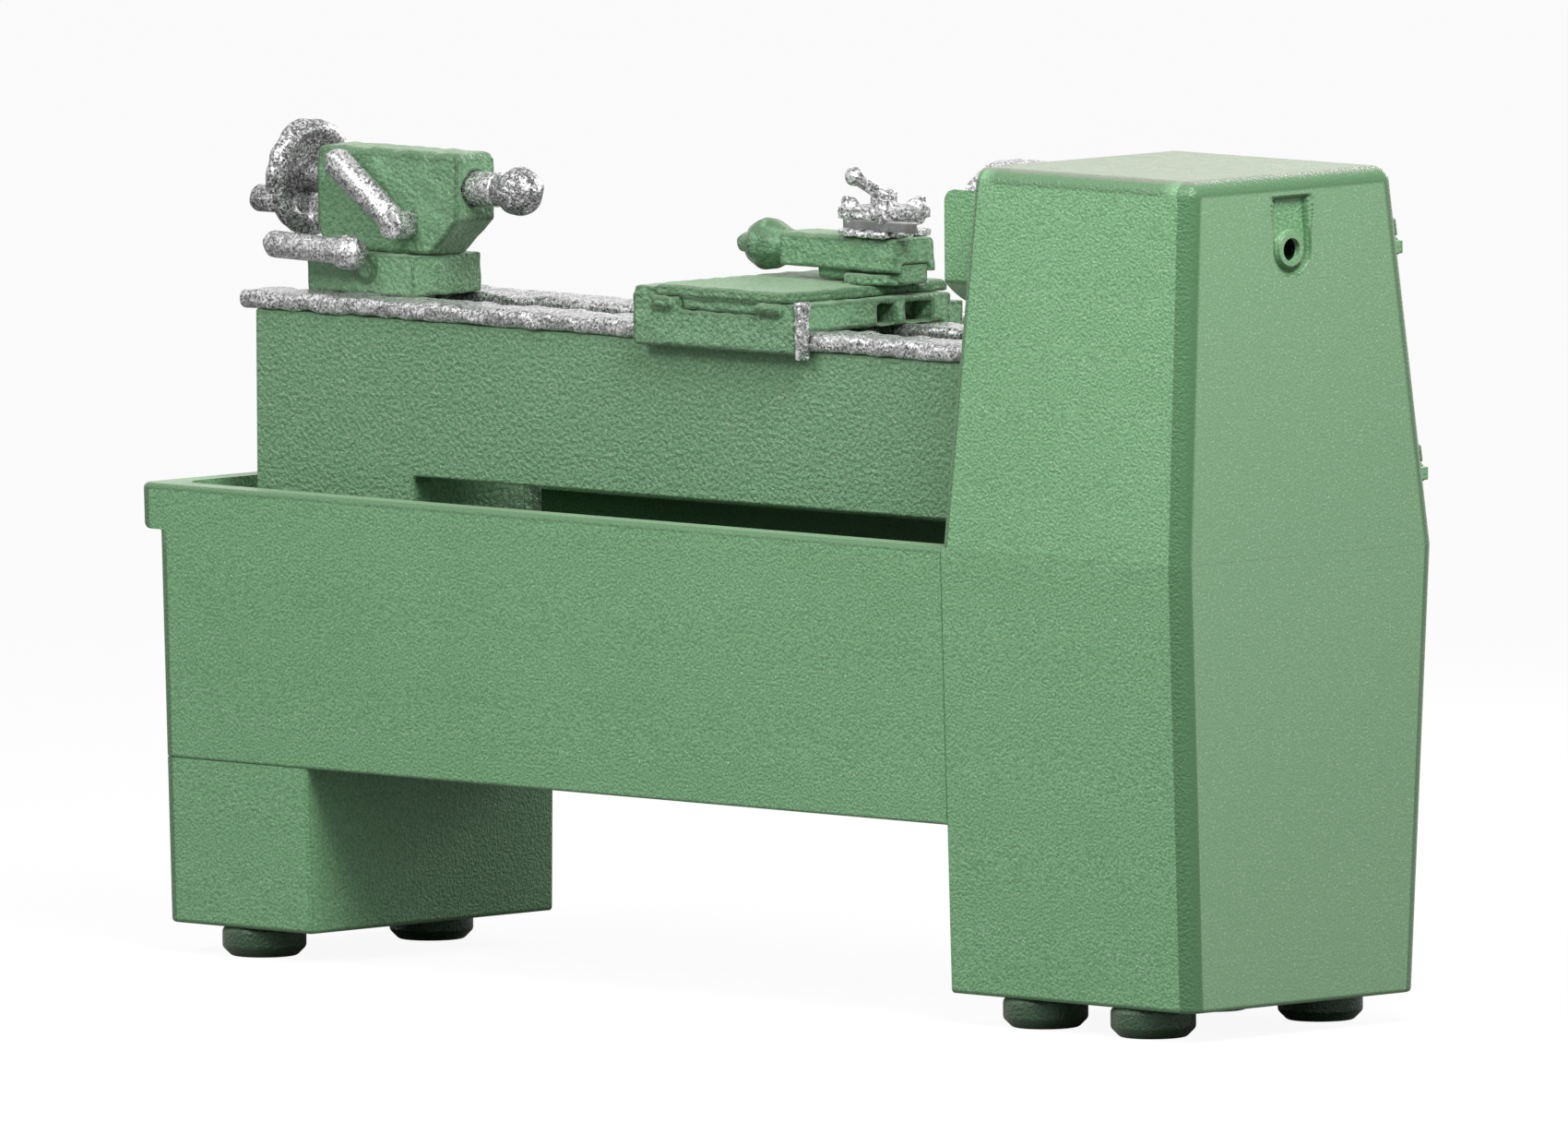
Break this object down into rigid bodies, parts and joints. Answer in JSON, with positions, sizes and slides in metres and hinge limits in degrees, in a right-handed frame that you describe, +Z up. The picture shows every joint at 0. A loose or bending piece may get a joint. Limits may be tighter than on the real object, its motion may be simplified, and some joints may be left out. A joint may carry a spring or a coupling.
{
  "type": "metal lathe",
  "caption": "Cabinet-base centre lathe with chuck, guard, carriage with compound slide and tool post, tailstock and hinged gear cover, for turning metal.",
  "frame": {"origin": "bottom centre of the whole machine's box, on the floor", "axes": "+X along the bed from headstock to tailstock, +Y to the rear, -Y is the operator's side, +Z up"},
  "size_m": [2.236, 0.594, 1.289],
  "materials": {
    "green_enamel": "hammered semi-gloss",
    "dark_green_enamel": "semi-gloss",
    "silver_paint": "bright flake",
    "bare_steel": "machined",
    "belt_rubber": "matt",
    "black_plastic": "gloss",
    "red_plastic": "gloss"
  },
  "bodies": {
    "base": {"headstock_pedestal": "green_enamel", "tailstock_pedestal": "green_enamel", "chip_tray": "green_enamel", "levelling_foot_1": "dark_green_enamel", "levelling_foot_2": "dark_green_enamel", "levelling_foot_3": "dark_green_enamel", "levelling_foot_4": "dark_green_enamel", "levelling_foot_5": "dark_green_enamel", "levelling_foot_6": "dark_green_enamel", "bed_casting": "green_enamel", "front_way": "silver_paint", "rear_way": "silver_paint", "headstock_housing": "green_enamel", "front_spindle_bearing": "bare_steel", "rear_spindle_bearing": "bare_steel", "drive_motor": "dark_green_enamel", "motor_bracket": "dark_green_enamel", "drive_belt": "belt_rubber", "feed_gearbox": "green_enamel", "leadscrew_bracket": "green_enamel", "control_panel": "dark_green_enamel"},
    "end_cover": {"end_cover": "green_enamel"},
    "spindle": {"spindle": "bare_steel", "spindle_pulley": "bare_steel", "spindle_gear": "bare_steel", "chuck_body": "silver_paint"},
    "jaw_1": {"chuck_jaw_1": "bare_steel"},
    "jaw_2": {"chuck_jaw_2": "bare_steel"},
    "jaw_3": {"chuck_jaw_3": "bare_steel"},
    "motor_rotor": {"motor_pulley": "bare_steel"},
    "idler": {"idler_gear": "bare_steel"},
    "leadscrew": {"leadscrew": "bare_steel", "leadscrew_gear": "bare_steel"},
    "feed_rod": {"feed_rod": "bare_steel"},
    "chuck_guard": {"chuck_guard": "green_enamel"},
    "speed_lever": {"speed_lever": "silver_paint"},
    "start_button": {"start_button": "black_plastic"},
    "stop_button": {"stop_button": "red_plastic"},
    "carriage": {"saddle": "green_enamel", "saddle_wiper": "silver_paint", "apron": "green_enamel"},
    "carriage_handwheel": {"carriage_handwheel": "silver_paint"},
    "halfnut_lever": {"halfnut_lever": "silver_paint"},
    "cross_slide_crank": {"cross_slide_crank": "silver_paint"},
    "cross_slide": {"cross_slide": "green_enamel"},
    "swivel": {"swivel_base": "green_enamel"},
    "top_slide": {"top_slide": "green_enamel"},
    "top_slide_handle": {"top_slide_handle": "green_enamel"},
    "tool_post": {"tool_post": "silver_paint", "cutting_tool": "bare_steel"},
    "tool_post_lever": {"tool_post_lever": "silver_paint"},
    "tailstock": {"tailstock_base": "green_enamel", "tailstock_body": "green_enamel", "tailstock_clamp_plate": "bare_steel"},
    "quill": {"quill": "silver_paint"},
    "live_centre": {"live_centre": "silver_paint"},
    "tailstock_handwheel": {"tailstock_handwheel": "silver_paint"},
    "quill_lever": {"quill_lever": "silver_paint"},
    "tailstock_clamp_lever": {"tailstock_clamp_lever": "silver_paint"}
  },
  "joints": [
    {"name": "end_cover_swing", "type": "hinge", "parent": "base", "child": "end_cover", "pos_m": [-1.088, -0.257, 0.717], "axis": [0, 0.1487, 0.9889], "range_deg": [0, 110]},
    {"name": "spindle_spin", "type": "hinge", "parent": "base", "child": "spindle", "pos_m": [0, 0.055, 1.176], "axis": [1, 0, 0], "continuous": true},
    {"name": "jaw_1_slide", "type": "slide", "parent": "spindle", "child": "jaw_1", "axis": [0, 0, 1], "range_m": [-0.016, 0.01]},
    {"name": "jaw_2_slide", "type": "slide", "parent": "spindle", "child": "jaw_2", "axis": [0, -0.866, -0.5], "range_m": [-0.016, 0.01]},
    {"name": "jaw_3_slide", "type": "slide", "parent": "spindle", "child": "jaw_3", "axis": [0, 0.866, -0.5], "range_m": [-0.016, 0.01]},
    {"name": "motor_spin", "type": "hinge", "parent": "base", "child": "motor_rotor", "pos_m": [0, 0.015, 0.3], "axis": [1, 0, 0], "continuous": true},
    {"name": "idler_spin", "type": "hinge", "parent": "base", "child": "idler", "pos_m": [-1.075, -0.02696, 1.03626], "axis": [1, 0, 0], "continuous": true},
    {"name": "leadscrew_spin", "type": "hinge", "parent": "base", "child": "leadscrew", "pos_m": [0, -0.115, 0.88618], "axis": [1, 0, 0], "continuous": true},
    {"name": "feed_rod_spin", "type": "hinge", "parent": "base", "child": "feed_rod", "pos_m": [0, -0.115, 0.83618], "axis": [1, 0, 0], "continuous": true},
    {"name": "chuck_guard_swing", "type": "hinge", "parent": "base", "child": "chuck_guard", "pos_m": [0, 0.055, 1.176], "axis": [1, 0, 0], "range_deg": [0, 95]},
    {"name": "speed_lever_turn", "type": "hinge", "parent": "base", "child": "speed_lever", "pos_m": [-0.86, -0.207, 1.18], "axis": [0, 1, 0], "range_deg": [-35, 35]},
    {"name": "start_button_press", "type": "slide", "parent": "base", "child": "start_button", "axis": [0, 1, 0], "range_m": [0, 0.005], "stiffness_N_per_m": 400},
    {"name": "stop_button_press", "type": "slide", "parent": "base", "child": "stop_button", "axis": [0, 1, 0], "range_m": [0, 0.005], "stiffness_N_per_m": 400},
    {"name": "carriage_travel", "type": "slide", "parent": "base", "child": "carriage", "axis": [1, 0, 0], "range_m": [-0.13, 0.34]},
    {"name": "carriage_handwheel_turn", "type": "hinge", "parent": "carriage", "child": "carriage_handwheel", "pos_m": [-0.09, -0.2073, 0.85], "axis": [0, 1, 0], "range_deg": [-590, 1535]},
    {"name": "halfnut_lever_turn", "type": "hinge", "parent": "carriage", "child": "halfnut_lever", "pos_m": [0.05, -0.2073, 0.9], "axis": [0, 1, 0], "range_deg": [0, 40]},
    {"name": "cross_slide_crank_turn", "type": "hinge", "parent": "carriage", "child": "cross_slide_crank", "pos_m": [-0.065, -0.2073, 1], "axis": [0, 1, 0], "range_deg": [-5045, 4325]},
    {"name": "cross_slide_travel", "type": "slide", "parent": "carriage", "child": "cross_slide", "axis": [0, 1, 0], "range_m": [-0.07, 0.06]},
    {"name": "swivel_turn", "type": "hinge", "parent": "cross_slide", "child": "swivel", "pos_m": [-0.175, -0.025, 1.071], "axis": [0, 0, 1], "range_deg": [-45, 45]},
    {"name": "top_slide_travel", "type": "slide", "parent": "swivel", "child": "top_slide", "axis": [1, 0, 0], "range_m": [-0.05, 0.05]},
    {"name": "top_slide_handle_turn", "type": "hinge", "parent": "top_slide", "child": "top_slide_handle", "pos_m": [0.008, -0.025, 1.116], "axis": [1, 0, 0], "range_deg": [-3600, 3600]},
    {"name": "tool_post_index", "type": "hinge", "parent": "top_slide", "child": "tool_post", "pos_m": [-0.175, -0.025, 1.1413], "axis": [0, 0, 1], "continuous": true},
    {"name": "tool_post_lever_turn", "type": "hinge", "parent": "tool_post", "child": "tool_post_lever", "pos_m": [-0.175, -0.025, 1.1863], "axis": [0, 0, 1], "range_deg": [0, 90]},
    {"name": "tailstock_travel", "type": "slide", "parent": "base", "child": "tailstock", "axis": [1, 0, 0], "range_m": [-0.45, 0.045]},
    {"name": "quill_travel", "type": "slide", "parent": "tailstock", "child": "quill", "axis": [-1, 0, 0], "range_m": [0, 0.08]},
    {"name": "live_centre_spin", "type": "hinge", "parent": "quill", "child": "live_centre", "pos_m": [0.528, 0.055, 1.176], "axis": [1, 0, 0], "continuous": true},
    {"name": "tailstock_handwheel_turn", "type": "hinge", "parent": "tailstock", "child": "tailstock_handwheel", "pos_m": [0.967, 0.055, 1.176], "axis": [-1, 0, 0], "range_deg": [0, 5760]},
    {"name": "quill_lever_turn", "type": "hinge", "parent": "tailstock", "child": "quill_lever", "pos_m": [0.728, 0.0953, 1.119], "axis": [0, 1, 0], "range_deg": [-30, 30]},
    {"name": "tailstock_clamp_lever_turn", "type": "hinge", "parent": "tailstock", "child": "tailstock_clamp_lever", "pos_m": [0.79, 0.151, 1.076], "axis": [0, -1, 0], "range_deg": [0, 60]}
  ],
  "couplings": [
    {"joint": "jaw_2_slide", "follows": "jaw_1_slide", "ratio": 1},
    {"joint": "jaw_3_slide", "follows": "jaw_1_slide", "ratio": 1},
    {"joint": "motor_spin", "follows": "spindle_spin", "ratio": 1.6275},
    {"joint": "idler_spin", "follows": "spindle_spin", "ratio": -0.42105},
    {"joint": "leadscrew_spin", "follows": "spindle_spin", "ratio": 0.8},
    {"joint": "feed_rod_spin", "follows": "spindle_spin", "ratio": 0.4},
    {"joint": "carriage_handwheel_turn", "follows": "carriage_travel", "rad_per_m": 78.54},
    {"joint": "cross_slide_crank_turn", "follows": "cross_slide_travel", "rad_per_m": 1256.6},
    {"joint": "top_slide_travel", "follows": "top_slide_handle_turn", "m_per_rad": 0.00079577},
    {"joint": "quill_travel", "follows": "tailstock_handwheel_turn", "m_per_rad": 0.00079577}
  ]
}
